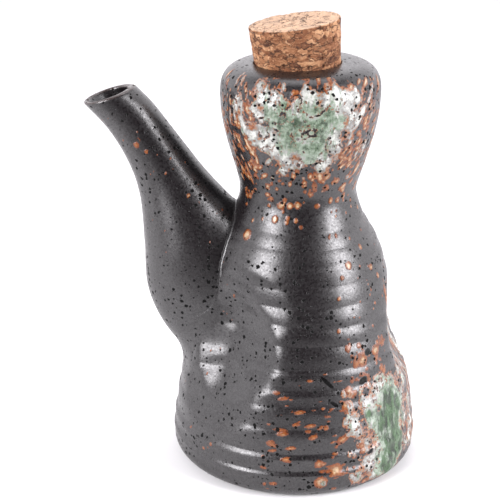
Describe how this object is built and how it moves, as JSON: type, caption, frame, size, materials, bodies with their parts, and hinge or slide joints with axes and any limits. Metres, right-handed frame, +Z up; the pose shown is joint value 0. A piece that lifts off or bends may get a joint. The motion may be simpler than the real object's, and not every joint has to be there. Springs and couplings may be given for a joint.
{
  "type": "sake bottle",
  "caption": "Gourd-shaped glazed ceramic bottle with a side spout, throwing rings, three finger dents and a tapered cork stopper.",
  "frame": {"origin": "centre of the foot, on the surface the bottle stands on", "axes": "+Z up the bottle through foot, waist and head; the spout points to -X"},
  "size_m": [0.1208, 0.0906, 0.163],
  "materials": {
    "glaze": "satin",
    "cork": "matte"
  },
  "bodies": {
    "bottle": {"body": "glaze", "head": "glaze", "spout": "glaze", "spout_seam": "glaze"},
    "cork": {"stopper": "cork"}
  },
  "joints": [
    {"name": "stopper_pull", "type": "slide", "parent": "bottle", "child": "cork", "axis": [-0.0958, 0, 0.9954], "range_m": [0, 0.04]}
  ]
}
